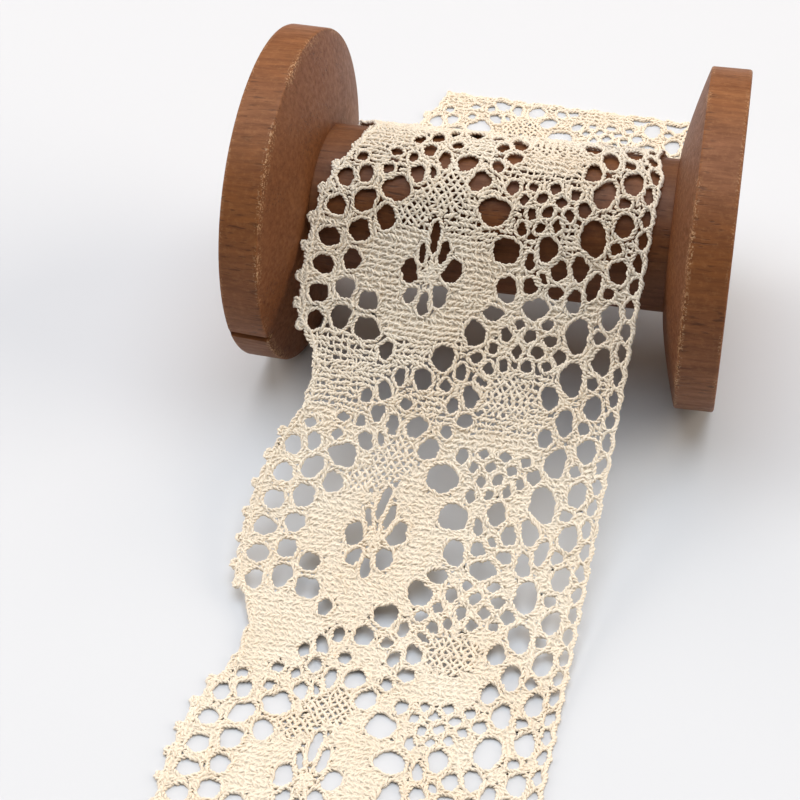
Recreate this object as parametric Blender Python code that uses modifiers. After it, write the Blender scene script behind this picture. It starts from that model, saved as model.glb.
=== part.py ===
"""Wooden spool with a length of cotton lace ribbon laid over its core.

Metres, +Z up. The spool's axis runs along X and both flanges stand on Z = 0.
The ribbon comes up from the surface behind the spool (+Y), passes over the core
and falls in one long curve to the surface in front (-Y), where it lies flat.
The origin is under the middle of the whole object, on the surface.
"""

import math

import bmesh
import bpy
from mathutils import Matrix, Vector
from mathutils.geometry import delaunay_2d_cdt

MM = 0.001

# Place of the spool's middle, which puts the origin under the middle of the whole object
MIDDLE_X = 0.0009
MIDDLE_Y = 0.0381

# Spool
CORE_RADIUS = 0.0192
CORE_SPAN = 0.0874
FLANGE_RADIUS = 0.0427
FLANGE_DOME = 0.0052
DOMED = 1.35
RIM_WIDTH = 0.0101
RIM_EDGE = 0.0007
FLAT_SPOT_DEPTH = 0.0005
LEFT_FLANGE_SWING = math.radians(-4.2)
LEFT_FLANGE_TILT = math.radians(-1.3)
RIGHT_FLANGE_SWING = math.radians(1.6)
RIGHT_FLANGE_TILT = math.radians(0.8)
PIECE_GAP = 0.0003
TURNED_STEPS = 72
DOME_STEPS = 5
AXIS_HEIGHT = FLANGE_RADIUS - FLAT_SPOT_DEPTH

# Ribbon as it is cut, measured flat: along runs down the front, across runs to the right
LACE_THICKNESS = 0.0010
LACE_CLEARANCE = 0.0007
REPEAT = 0.0672
FIRST_NOTCH = -0.1399
FRONT_CUT = 0.2000
BACK_CUT = -0.1335
BACK_CUT_SLANT = 0.045
RIGHT_EDGE = 0.0411
PICOT_REACH = 0.0013
PICOT_HALF_WIDTH = 0.0016

# How the ribbon hangs
FRONT_LEAVE = math.radians(50.5)
BACK_LEAVE = math.radians(76.0)
DRIFT_BACK = (-0.060, 0.0)
DRIFT_TOP = (0.010, math.radians(-3.3))
DRIFT_FRONT = (0.150, math.radians(-1.2))
DRAWN_IN = 0.055
DRAWN_BETWEEN = (-0.052, -0.008)

# Meshing of the ribbon
OUTLINE_STEP = 0.0048
FILL_STEP = 0.0050
FILL_CLEARANCE = 0.0017
SMALL_HOLE = 0.0046

# Scalloped left edge of one repeat, in mm: along from the notch, across
SCALLOP = (
    (0.0, -35.4), (8.5, -35.8), (14.0, -37.6), (19.0, -40.0), (26.0, -42.0),
    (34.5, -42.9), (41.0, -43.1), (48.5, -42.8), (55.5, -41.8), (59.5, -38.8),
    (62.5, -36.8),
)

# Picots of one repeat, in mm along from the notch
PICOTS = (17.0, 25.6, 33.2, 40.4, 47.9, 55.2)

# Openings of one repeat, in mm: along, across, length, width, turn in degrees
OUTER_ROW = (
    (19.5, -35.6, 4.4, 3.9, 0), (27.2, -36.7, 4.5, 4.6, 0), (34.6, -37.2, 4.6, 5.0, 0),
    (41.6, -37.6, 4.2, 5.0, 0), (48.8, -37.5, 4.4, 4.8, 0), (55.4, -36.8, 4.0, 3.6, 0),
)
SECOND_ROW = (
    (18.0, -31.4, 4.7, 3.0, 0), (24.4, -29.8, 6.2, 4.4, -20), (31.9, -30.2, 6.2, 4.8, 0),
    (39.3, -30.8, 5.2, 4.4, 0), (46.4, -31.1, 5.0, 4.4, 0), (53.4, -30.7, 5.8, 4.7, 0),
)
MEDALLION_RING = (
    (20.4, -22.8, 6.2, 6.0, 0), (27.6, -23.8, 5.7, 4.2, 15), (48.9, -24.9, 4.5, 4.6, -20),
    (55.4, -24.0, 4.9, 6.2, -25), (59.6, -18.3, 4.1, 3.0, 0), (15.8, -18.2, 4.2, 3.2, 20),
    (10.7, -6.9, 5.2, 4.4, -35), (15.2, -2.8, 5.2, 4.2, -25), (22.2, 1.9, 6.6, 7.4, 0),
    (31.4, 6.6, 6.2, 6.6, 0), (40.5, 8.4, 6.8, 4.6, 0), (46.9, 6.2, 3.2, 4.8, 20),
    (52.3, 2.9, 6.4, 4.9, 20), (59.6, -3.6, 5.2, 5.2, 0), (65.6, -7.6, 5.2, 4.4, 15),
    (0.6, 4.6, 5.6, 3.6, 0),
)
FLOWER = (
    (30.9, -11.0, 9.6, 2.0, 0), (34.0, -8.4, 6.6, 2.2, -8), (39.6, -15.7, 6.0, 4.2, 0),
    (38.6, -5.6, 6.0, 4.4, -20), (45.4, -14.3, 4.4, 3.2, -30), (47.6, -11.2, 6.0, 2.2, 0),
    (45.0, -7.7, 5.4, 3.8, 0),
)
GROUND = (
    (28.8, 16.6, 6.4, 4.0, 0), (33.9, 20.2, 4.9, 3.4, 0), (43.7, 16.4, 5.2, 5.2, 0),
    (8.0, 24.7, 4.6, 3.4, 0), (65.2, 24.0, 4.6, 4.0, 0),
)
RIGHT_COLUMN = (
    (3.4, 28.4, 6.2, 3.7, 0), (13.8, 28.0, 6.0, 4.4, 0), (25.2, 27.0, 8.8, 5.6, 0),
    (32.0, 25.2, 6.4, 3.2, 15), (36.7, 29.0, 6.2, 2.8, -15), (40.4, 25.6, 5.2, 3.0, 10),
    (48.8, 27.6, 8.2, 4.8, 0), (59.8, 27.6, 6.4, 5.0, 0),
)
EDGE_OVALS = tuple((9.5 + 11.2 * row, 34.6, 5.4, 3.8, 0) for row in range(6))
OPENINGS = (
    OUTER_ROW + SECOND_ROW + MEDALLION_RING + FLOWER + GROUND + RIGHT_COLUMN + EDGE_OVALS
)


def clear_scene():
    for old in list(bpy.data.objects):
        bpy.data.objects.remove(old, do_unlink=True)


def new_collection(name):
    collection = bpy.data.collections.new(name)
    bpy.context.scene.collection.children.link(collection)
    return collection


def new_object(name, mesh, collection, material=None):
    piece = bpy.data.objects.new(name, mesh)
    collection.objects.link(piece)
    if material:
        mesh.materials.append(material)
    return piece


def make_material(name, colour, roughness):
    material = bpy.data.materials.new(name)
    material.use_nodes = True
    shader = material.node_tree.nodes["Principled BSDF"]
    shader.inputs["Base Color"].default_value = (*colour, 1.0)
    shader.inputs["Roughness"].default_value = roughness
    shader.inputs["Metallic"].default_value = 0.0
    return material


def make_cutter_box(name, size, centre, collection):
    """Box that a Boolean takes away, kept out of the model."""
    mesh = bpy.data.meshes.new(name)
    shape = bmesh.new()
    bmesh.ops.create_cube(shape, size=1.0)
    bmesh.ops.scale(shape, vec=Vector(size), verts=shape.verts)
    shape.to_mesh(mesh)
    shape.free()
    box = new_object(name, mesh, collection)
    box.location = centre
    box.hide_render = True
    box.display_type = "WIRE"
    return box


def flange_profile():
    """Half section of a flange: x is the radius, z the distance outwards from the core."""
    rim_in, rim_out = FLANGE_DOME, FLANGE_DOME + RIM_WIDTH
    points = [(0.0, rim_out), (FLANGE_RADIUS - RIM_EDGE, rim_out)]
    points += [(FLANGE_RADIUS, rim_out - RIM_EDGE), (FLANGE_RADIUS, rim_in + RIM_EDGE)]
    edge_radius = FLANGE_RADIUS - RIM_EDGE
    for step in range(DOME_STEPS + 1):
        share = step / DOME_STEPS
        radius = edge_radius + (CORE_RADIUS - edge_radius) * share
        points.append((radius, rim_in * (1 - share) ** DOMED))
    points.append((0.0, 0.0))
    return points


def make_flange(name, side, swing, tilt, collection, cutters, material):
    """Turned disc with a slightly domed inner face and a small flat to stand on."""
    mesh = bpy.data.meshes.new(name)
    corners = [(radius, 0.0, height) for radius, height in flange_profile()]
    edges = [(index, index + 1) for index in range(len(corners) - 1)]
    mesh.from_pydata(corners, edges, [])
    flange = new_object(name, mesh, collection, material)
    flange.location = (MIDDLE_X + side * CORE_SPAN / 2, MIDDLE_Y, AXIS_HEIGHT)
    turned = Matrix.Rotation(side * math.pi / 2 + tilt, 4, "Y")
    flange.rotation_euler = (Matrix.Rotation(swing, 4, "Z") @ turned).to_euler()

    screw = flange.modifiers.new("Turned", "SCREW")
    screw.axis = "Z"
    screw.steps = TURNED_STEPS
    screw.render_steps = TURNED_STEPS
    screw.use_merge_vertices = True
    screw.merge_threshold = 0.00001

    reach = 2 * FLANGE_RADIUS
    cutter = make_cutter_box(
        name + "_floor", (reach, reach, reach),
        (flange.location.x, MIDDLE_Y, -reach / 2), cutters,
    )
    flat = flange.modifiers.new("Flat spot", "BOOLEAN")
    flat.operation = "DIFFERENCE"
    flat.solver = "EXACT"
    flat.object = cutter
    return flange


def make_core(collection, material):
    """Plain dowel whose ends are cut parallel to the flanges they meet."""
    length = CORE_SPAN - 2 * PIECE_GAP
    mesh = bpy.data.meshes.new("core")
    shape = bmesh.new()
    bmesh.ops.create_cone(
        shape, cap_ends=True, segments=TURNED_STEPS, radius1=CORE_RADIUS,
        radius2=CORE_RADIUS, depth=length,
    )
    bmesh.ops.rotate(shape, matrix=Matrix.Rotation(math.pi / 2, 3, "Y"), verts=shape.verts)
    for vert in shape.verts:
        left = vert.co.x < 0
        swing = LEFT_FLANGE_SWING if left else RIGHT_FLANGE_SWING
        tilt = LEFT_FLANGE_TILT if left else RIGHT_FLANGE_TILT
        vert.co.x += vert.co.z * math.tan(tilt) - vert.co.y * math.tan(swing)
    shape.to_mesh(mesh)
    shape.free()
    core = new_object("core", mesh, collection, material)
    core.location = (MIDDLE_X, MIDDLE_Y, AXIS_HEIGHT)
    return core


def falling_arc(leave):
    """Radius of the arc that leaves the core at this slope and lands flat on the surface."""
    drop = AXIS_HEIGHT + LACE_BEND * math.cos(leave) - LACE_THICKNESS / 2
    return drop / (1 - math.cos(leave))


LACE_BEND = CORE_RADIUS + LACE_CLEARANCE + LACE_THICKNESS / 2
FRONT_ARC = falling_arc(FRONT_LEAVE)
BACK_ARC = falling_arc(BACK_LEAVE)


def hang(run):
    """Point of the side view, as (y, z), at this length along the ribbon from the top."""
    forward = run >= 0
    leave, arc = (FRONT_LEAVE, FRONT_ARC) if forward else (BACK_LEAVE, BACK_ARC)
    length = abs(run)
    on_core = LACE_BEND * leave
    in_air = on_core + arc * leave
    if length <= on_core:
        angle = length / LACE_BEND
        out, height = LACE_BEND * math.sin(angle), AXIS_HEIGHT + LACE_BEND * math.cos(angle)
    else:
        landing = (LACE_BEND + arc) * math.sin(leave)
        angle = max(in_air - length, 0.0) / arc
        out = landing - arc * math.sin(angle) + max(length - in_air, 0.0)
        height = LACE_THICKNESS / 2 + arc * (1 - math.cos(angle))
    return (-out if forward else out), height


def drift(along):
    """Angle of the ribbon's length to -Y here, and how far it has drifted to the right."""
    stops = (DRIFT_BACK, DRIFT_TOP, DRIFT_FRONT)
    if along <= stops[0][0]:
        angle = stops[0][1]
    elif along >= stops[-1][0]:
        angle = stops[-1][1]
    else:
        for (start, a), (end, b) in zip(stops, stops[1:]):
            if start <= along <= end:
                angle = a + (b - a) * (along - start) / (end - start)
    shift = 0.0
    for (start, a), (end, b) in zip(stops, stops[1:]):
        covered = min(max(along, start), end) - start
        shift += covered * a + (b - a) * covered ** 2 / (2 * (end - start))
    shift += max(along - stops[-1][0], 0.0) * stops[-1][1]
    top = 0.0
    start, a = stops[0]
    end, b = stops[1]
    top = -start * a + (b - a) * start ** 2 / (2 * (end - start))
    return angle, shift - top


def drawn_in(along):
    """Share of its width that the ribbon keeps where it squeezes between the flanges."""
    start, end = DRAWN_BETWEEN
    reach = min(along - start, end - along) / 0.010
    rise = min(max(reach + 1.0, 0.0), 1.0)
    return 1.0 - DRAWN_IN * rise * rise * (3 - 2 * rise)


def lay(along, across):
    """Point of the hanging ribbon's middle surface for a point of the flat one."""
    angle, shift = drift(along)
    across *= drawn_in(along)
    y, z = hang(along - across * math.sin(angle))
    return Vector((across * math.cos(angle) + shift, y, z))


def edge_at(along):
    """Across value of the scalloped edge, in metres, without its picots."""
    place = ((along - FIRST_NOTCH) % REPEAT) / MM
    knots = SCALLOP + ((REPEAT / MM, SCALLOP[0][1]),)
    for (start, a), (end, b) in zip(knots, knots[1:]):
        if start <= place <= end:
            share = (place - start) / (end - start)
            return (a + (b - a) * share) * MM
    return knots[-1][1] * MM


def cut_at_back(across):
    return BACK_CUT + BACK_CUT_SLANT * across


def ribbon_outline():
    """Outline of the flat ribbon, anticlockwise in (along, across) turned to (x, y)."""
    left = []
    along = cut_at_back(-0.036)
    marks = []
    for repeat in range(6):
        notch = FIRST_NOTCH + repeat * REPEAT
        marks += [(notch + place * MM, 0.0) for place, _ in SCALLOP]
        for picot in PICOTS:
            middle = notch + picot * MM
            marks += [(middle - PICOT_HALF_WIDTH, 0.0), (middle, PICOT_REACH),
                      (middle + PICOT_HALF_WIDTH, 0.0)]
    marks = sorted(mark for mark in marks if along + MM < mark[0] < FRONT_CUT - MM)
    left.append((along, edge_at(along)))
    for place, reach in marks:
        if place - left[-1][0] > PICOT_HALF_WIDTH * 0.75 or reach:
            left.append((place, edge_at(place) - reach))
    left.append((FRONT_CUT, edge_at(FRONT_CUT)))
    bottom = across_steps(FRONT_CUT, FRONT_CUT, edge_at(FRONT_CUT), RIGHT_EDGE)
    start = cut_at_back(RIGHT_EDGE)
    count = round((FRONT_CUT - start) / OUTLINE_STEP)
    right = [
        (FRONT_CUT + (start - FRONT_CUT) * step / count, RIGHT_EDGE) for step in range(count + 1)
    ]
    top = across_steps(start, along, RIGHT_EDGE, edge_at(along))
    return left + bottom + right + top


def across_steps(along_a, along_b, across_a, across_b):
    """Points between the two ends of a cut, without the ends."""
    count = round(abs(across_b - across_a) / FILL_STEP)
    shares = [step / count for step in range(1, count)]
    return [
        (along_a + (along_b - along_a) * share, across_a + (across_b - across_a) * share)
        for share in shares
    ]


def opening_ring(along, across, length, width, turn):
    """Corners of one oval opening."""
    count = 6 if max(length, width) < SMALL_HOLE else 8
    angle = math.radians(turn)
    ring = []
    for step in range(count):
        round_angle = 2 * math.pi * (step + 0.5) / count
        x = length / 2 * math.cos(round_angle)
        y = width / 2 * math.sin(round_angle)
        ring.append((
            along + x * math.cos(angle) - y * math.sin(angle),
            across + x * math.sin(angle) + y * math.cos(angle),
        ))
    return ring


def ribbon_openings():
    """Every opening of the ribbon, as (centre, ring), repeat after repeat."""
    openings = []
    for repeat in range(6):
        notch = FIRST_NOTCH + repeat * REPEAT
        for along, across, length, width, turn in OPENINGS:
            centre = (notch + along * MM, across * MM)
            margin = length * MM / 2 + MM
            inside = cut_at_back(centre[1]) + margin < centre[0] < FRONT_CUT - margin
            if inside:
                ring = opening_ring(*centre, length * MM, width * MM, turn)
                openings.append((centre, ring))
    return openings


def distance_to_ring(point, ring):
    """Distance from a point to the nearest side of a closed ring."""
    best = math.inf
    for (ax, ay), (bx, by) in zip(ring, ring[1:] + ring[:1]):
        side = Vector((bx - ax, by - ay))
        share = (Vector(point) - Vector((ax, ay))).dot(side) / side.length_squared
        nearest = Vector((ax, ay)) + side * min(max(share, 0.0), 1.0)
        best = min(best, (Vector(point) - nearest).length)
    return best


def fill_points(outline, openings):
    """Staggered points over the dense cloth, clear of the outline and the openings."""
    points = []
    rows = int((FRONT_CUT - BACK_CUT) / FILL_STEP) + 2
    columns = int((RIGHT_EDGE + 0.045) / FILL_STEP) + 2
    for row in range(rows):
        for column in range(columns):
            shift = 0.5 * (row % 2)
            point = (
                BACK_CUT + (row - 1) * FILL_STEP,
                -0.045 + (column + shift) * FILL_STEP,
            )
            inside = cut_at_back(point[1]) < point[0] < FRONT_CUT
            inside = inside and edge_at(point[0]) < point[1] < RIGHT_EDGE
            if not inside or distance_to_ring(point, outline) < FILL_CLEARANCE:
                continue
            near = [
                ring for centre, ring in openings
                if (Vector(centre) - Vector(point)).length < 0.0085
            ]
            hit = any(
                distance_to_ring(point, ring) < FILL_CLEARANCE or holds(ring, point)
                for ring in near
            )
            if not hit:
                points.append(point)
    return points


def holds(ring, point):
    """Whether a closed ring goes round a point."""
    x, y = point
    inside = False
    for (ax, ay), (bx, by) in zip(ring, ring[1:] + ring[:1]):
        if (ay > y) != (by > y) and x < (bx - ax) * (y - ay) / (by - ay) + ax:
            inside = not inside
    return inside


def make_lace(collection, material):
    """Pierced ribbon: triangulated flat, laid over the core, then given its thickness."""
    outline = ribbon_outline()
    openings = ribbon_openings()
    points = list(outline)
    sides = [(i, (i + 1) % len(outline)) for i in range(len(outline))]
    for _, ring in openings:
        first = len(points)
        count = len(ring)
        points += ring
        sides += [(first + i, first + (i + 1) % count) for i in range(count)]
    points += fill_points(outline, openings)
    flat, _, faces, _, _, _ = delaunay_2d_cdt(
        [Vector(point) for point in points], sides, [], 1, 1e-7
    )

    shape = bmesh.new()
    verts = [shape.verts.new(lay(point.x, point.y)) for point in flat]
    for face in faces:
        middle = sum((flat[i] for i in face), Vector((0.0, 0.0))) / len(face)
        in_opening = any(
            (Vector(centre) - middle).length < 0.006 and holds(ring, middle)
            for centre, ring in openings
        )
        if not in_opening and holds(outline, middle):
            shape.faces.new([verts[i] for i in face])
    loose = [vert for vert in shape.verts if not vert.link_faces]
    bmesh.ops.delete(shape, geom=loose, context="VERTS")
    bmesh.ops.recalc_face_normals(shape, faces=shape.faces)
    mesh = bpy.data.meshes.new("lace_ribbon")
    shape.to_mesh(mesh)
    shape.free()
    lace = new_object("lace_ribbon", mesh, collection, material)
    lace.location = (MIDDLE_X, MIDDLE_Y, 0.0)
    solid = lace.modifiers.new("Thickness", "SOLIDIFY")
    solid.thickness = LACE_THICKNESS
    solid.offset = 0.0
    return lace


def main():
    clear_scene()
    model = new_collection("lace_spool")
    cutters = new_collection("cutters")
    wood = make_material("stained_wood", (0.23, 0.10, 0.05), 0.55)
    cotton = make_material("ecru_cotton", (0.80, 0.72, 0.60), 0.9)
    make_flange(
        "flange_left", -1, LEFT_FLANGE_SWING, LEFT_FLANGE_TILT, model, cutters, wood
    )
    make_flange(
        "flange_right", 1, RIGHT_FLANGE_SWING, RIGHT_FLANGE_TILT, model, cutters, wood
    )
    make_core(model, wood)
    make_lace(model, cotton)
    for piece in model.objects:
        if piece.name != "lace_ribbon":
            piece.data.shade_smooth()


main()
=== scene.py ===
"""Wooden spool with a length of cotton bobbin lace laid over its core.

The lace is worked as yarn: twisted rims round its openings, rows of cloth stitch,
half stitch, picots and edge cords, all set out flat and then laid over the core.
"""

import math

import bmesh
import bpy
import numpy as np
from mathutils import Matrix, Vector
from mathutils.geometry import delaunay_2d_cdt


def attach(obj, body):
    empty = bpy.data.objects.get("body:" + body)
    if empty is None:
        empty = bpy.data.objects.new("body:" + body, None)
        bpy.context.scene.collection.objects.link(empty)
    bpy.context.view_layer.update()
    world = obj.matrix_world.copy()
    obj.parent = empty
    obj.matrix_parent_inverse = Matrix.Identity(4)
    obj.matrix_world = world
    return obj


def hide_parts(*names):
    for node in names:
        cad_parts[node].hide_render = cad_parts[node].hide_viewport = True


bl_info = {
    "name": "Lace spool",
    "version": (1, 0, 0),
    "blender": (4, 5, 0),
    "location": "View3D > Sidebar > Lace spool",
    "description": "Wooden spool with a length of cotton lace over its core",
    "category": "Object",
}

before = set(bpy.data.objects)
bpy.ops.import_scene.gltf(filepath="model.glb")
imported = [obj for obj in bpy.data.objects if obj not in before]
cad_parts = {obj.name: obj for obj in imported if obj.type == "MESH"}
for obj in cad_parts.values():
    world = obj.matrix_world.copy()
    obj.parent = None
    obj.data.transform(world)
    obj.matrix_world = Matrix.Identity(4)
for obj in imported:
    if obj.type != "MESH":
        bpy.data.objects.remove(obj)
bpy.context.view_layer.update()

MIDDLE = np.array((0.0009, 0.0381, 0.0))
AXIS_HEIGHT = 0.0422

# How the ribbon hangs, in millimetres and degrees, as in the part
BEND = 20.4
REST = 0.5
FRONT_LEAVE, BACK_LEAVE = math.radians(50.5), math.radians(76.0)
REPEAT, FIRST_NOTCH = 67.2, -139.9
FRONT_CUT, BACK_CUT, BACK_SLANT = 200.0, -133.5, 0.045
RIGHT_EDGE = 41.1

# Openings of one repeat, in mm: along from the notch, across, length, width, turn
PICOT_ROW = (
    (13.9, -32.6, 2.3, 2.0, 0), (19.5, -35.6, 4.2, 3.7, 0), (27.2, -36.7, 4.3, 4.4, 0),
    (34.6, -37.2, 4.4, 4.9, 0), (41.6, -37.6, 4.0, 5.0, 0), (48.8, -37.5, 4.3, 4.8, 0),
    (55.4, -36.8, 4.1, 3.7, 0),
)
SECOND_ROW = (
    (18.0, -31.4, 4.5, 2.9, 0), (24.4, -29.8, 6.2, 4.2, -20), (31.9, -30.2, 5.9, 4.6, 0),
    (39.3, -30.8, 4.8, 4.2, 0), (46.4, -31.1, 4.7, 4.4, 0), (53.4, -30.7, 5.5, 4.6, 0),
    (15.9, -25.6, 2.2, 1.9, 0), (10.7, -24.9, 1.9, 2.5, 0),
)
MEDALLION_RING = (
    (20.4, -22.8, 6.0, 6.0, 0), (27.6, -23.8, 5.6, 4.2, 15), (48.9, -24.9, 4.4, 4.4, -20),
    (55.4, -24.0, 4.8, 6.0, -25), (59.6, -18.3, 4.0, 2.9, 0), (15.8, -18.2, 4.0, 3.2, 20),
    (10.7, -6.9, 5.0, 4.4, -35), (15.2, -2.8, 5.2, 4.2, -25), (22.2, 1.9, 6.6, 7.3, 0),
    (31.4, 6.6, 6.0, 6.4, 0), (40.5, 8.4, 6.8, 4.4, 0), (46.9, 6.2, 3.0, 4.7, 20),
    (52.3, 2.9, 6.3, 4.8, 20), (59.6, -3.6, 5.2, 5.2, 0), (65.6, -7.6, 5.1, 4.3, 15),
    (0.6, 4.6, 5.6, 3.5, 0),
)
NOTCH_GROUND = (
    (4.5, -20.2, 3.0, 2.4, 0), (3.1, -16.3, 4.2, 2.8, 0), (8.0, -16.9, 4.1, 2.5, 0),
    (11.2, -20.5, 2.6, 1.8, 0), (11.2, -12.7, 5.0, 2.3, 0), (66.5, -13.4, 4.0, 2.0, 0),
    (5.0, -10.6, 2.6, 2.6, 0), (66.6, -1.6, 2.2, 2.6, 0), (14.9, -14.9, 2.8, 1.5, 0),
)
FLOWER = (
    (30.9, -11.0, 9.6, 1.9, 0), (35.2, -13.3, 5.4, 1.3, 6), (34.0, -8.4, 6.6, 2.1, -8),
    (39.6, -15.7, 6.0, 4.1, 0), (38.6, -5.6, 6.0, 4.4, -20), (45.4, -14.3, 4.3, 3.1, -30),
    (47.4, -11.2, 5.8, 2.4, 0), (45.0, -7.7, 5.4, 3.8, 0),
)
SPIDER_GROUND = (
    (3.3, 0.8, 3.6, 2.3, 0), (7.0, 4.3, 3.1, 3.5, 0), (10.4, 0.6, 3.0, 2.4, 0),
    (16.0, 5.8, 3.3, 2.5, 0), (14.9, 10.6, 1.7, 1.8, 0), (14.5, 15.9, 2.0, 2.4, 0),
    (15.0, 21.0, 2.2, 2.0, 0), (17.0, 13.1, 2.3, 2.0, 0), (17.3, 18.1, 2.0, 2.4, 0),
    (18.0, 8.7, 2.3, 1.8, 0), (18.2, 23.6, 2.8, 2.7, 0), (20.0, 15.1, 2.6, 2.1, 0),
    (20.2, 20.4, 2.0, 2.1, 0), (21.6, 11.2, 3.0, 1.6, 0), (23.0, 17.8, 3.1, 1.5, 0),
    (24.4, 13.8, 2.0, 1.8, 0), (25.2, 9.6, 3.4, 1.6, 0), (28.8, 16.6, 6.4, 4.0, 0),
    (32.6, 13.0, 4.2, 1.9, 0), (33.9, 20.2, 4.6, 3.3, 0), (36.4, 16.9, 2.0, 1.6, 0),
    (38.8, 14.3, 3.6, 3.0, 0), (39.1, 20.6, 2.8, 3.2, 0), (43.7, 16.4, 5.1, 5.1, 0),
    (47.6, 19.6, 2.4, 2.2, 0), (48.4, 13.5, 1.9, 2.0, 0), (51.3, 10.6, 3.6, 2.2, 0),
    (51.2, 16.0, 2.8, 2.3, 0), (51.2, 21.0, 2.4, 2.6, 0), (54.6, 18.8, 2.9, 2.5, 0),
    (54.8, 24.3, 2.6, 2.4, 0), (55.2, 7.6, 2.2, 2.0, 0), (55.4, 13.5, 3.0, 1.7, 0),
    (57.4, 21.6, 1.8, 2.0, 0), (58.0, 4.4, 2.4, 2.4, 0), (58.0, 16.4, 2.6, 2.1, 0),
    (58.6, 10.9, 2.8, 1.7, 0), (62.4, 0.9, 3.6, 1.9, 0), (61.0, 7.6, 2.9, 2.2, 0),
    (63.9, 6.4, 2.8, 2.3, 0),
)
RIGHT_COLUMN = (
    (3.4, 28.4, 6.2, 3.6, 0), (8.0, 24.5, 4.5, 3.2, 0), (13.8, 28.0, 6.0, 4.3, 0),
    (25.2, 27.0, 8.8, 5.4, 0), (32.0, 25.2, 6.2, 3.1, 15), (36.7, 29.0, 6.0, 2.6, -15),
    (40.4, 25.6, 5.0, 2.9, 10), (48.8, 27.6, 8.0, 4.7, 0), (59.8, 27.8, 6.4, 4.8, 0),
    (65.0, 23.8, 4.5, 3.8, 0),
)
EDGE_ROWS = tuple(
    (9.5 + 11.2 * row + shift, across, length, width, turn)
    for row in range(6)
    for shift, across, length, width, turn in (
        (0.0, 34.6, 5.4, 3.8, 0), (5.6, 33.0, 2.3, 2.0, 0),
        (-3.0, 38.9, 5.2, 1.3, 4), (2.9, 38.9, 5.2, 1.3, -4),
    )
)
OPENINGS = np.array(
    FLOWER + PICOT_ROW + SECOND_ROW + MEDALLION_RING + NOTCH_GROUND + SPIDER_GROUND
    + RIGHT_COLUMN + EDGE_ROWS
)

# Scalloped left edge of one repeat, in mm: along from the notch, across
SCALLOP = np.array((
    (0.0, -35.4), (8.5, -35.8), (14.0, -37.6), (19.0, -40.0), (26.0, -42.0),
    (34.5, -42.9), (41.0, -43.1), (48.5, -42.8), (55.5, -41.8), (59.5, -38.8),
    (62.5, -36.8), (67.2, -35.4),
))
PICOTS = (17.0, 23.4, 31.0, 38.0, 45.1, 52.2, 57.2)

# Width of a cell of the map, and where the airy right edge and its slits begin, in mm
CELL = 0.25
AIRY_FROM = 22.0
SLITS_FROM = 37.0

# How strongly an opening is drawn into the corners between its neighbours
CORNER = 0.55

# Stretches without a sheet below, in mm along, and where it is only under wide cloth
BARE = ((4.0, 24.0), (50.0, 71.0))
HALF_BARE = (-30.0, 4.0)

# Middle of the flower, in mm: along from the notch, across
HUB = (40.2, -11.0)

# Cords that cross on the hub: height in mm, lean in degrees, reach in mm
HUB_CORDS = (
    (-0.25, 80, 2.8), (-0.1, 10, 3.6), (0.05, 25, 3.4), (0.1, 140, 3.0), (0.2, 165, 3.8),
    (0.3, 100, 2.6),
)

# Half stitch, in mm: middle along, middle across, reach along, reach across
HALF_STITCH = (
    (17.5, -10.6, 7.0, 6.0), (-0.5, 12.0, 5.5, 8.5), (66.7, 12.0, 5.5, 8.5),
    (25.5, -17.5, 3.5, 5.0),
)


class YarnSizes(bpy.types.PropertyGroup):
    """Sizes of the yarn and of the stitches."""

    strand: bpy.props.FloatProperty(
        name="Strand", description="Thickness of one strand", default=0.00059, unit="LENGTH"
    )
    twist: bpy.props.FloatProperty(
        name="Twist", description="Length of one turn of two strands", default=0.0021,
        unit="LENGTH",
    )
    spread: bpy.props.FloatProperty(
        name="Spread", description="Distance of a twisted strand from the cord's middle",
        default=0.00030, unit="LENGTH",
    )
    row: bpy.props.FloatProperty(
        name="Row", description="Distance between rows of cloth stitch", default=0.00150,
        unit="LENGTH",
    )
    rim: bpy.props.FloatProperty(
        name="Rim", description="Distance of a rim's middle from its opening",
        default=0.00064, unit="LENGTH",
    )
    plait: bpy.props.FloatProperty(
        name="Plait", description="Width of the plait between two openings",
        default=0.00140, unit="LENGTH",
    )
    opened: bpy.props.FloatProperty(
        name="Opened", description="How far an opening may grow from its charted oval",
        default=0.00006, unit="LENGTH",
    )


class SpoolSizes(bpy.types.PropertyGroup):
    """Sizes of the turned wood."""

    core_radius: bpy.props.FloatProperty(
        name="Core radius", description="Radius of the core", default=0.0192, unit="LENGTH"
    )
    core_span: bpy.props.FloatProperty(
        name="Core span", description="Distance between the flanges at the core",
        default=0.0874, unit="LENGTH",
    )
    flange_radius: bpy.props.FloatProperty(
        name="Flange radius", description="Radius of the flanges", default=0.0427,
        unit="LENGTH",
    )
    flange_dome: bpy.props.FloatProperty(
        name="Dome", description="How far the flange's inner face stands out at the core",
        default=0.0052, unit="LENGTH",
    )
    rim_width: bpy.props.FloatProperty(
        name="Rim width", description="Width of the flange's rim", default=0.0101,
        unit="LENGTH",
    )
    rim_edge: bpy.props.FloatProperty(
        name="Rim edge", description="Width of the worn edge of the rim", default=0.0006,
        unit="LENGTH",
    )


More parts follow.
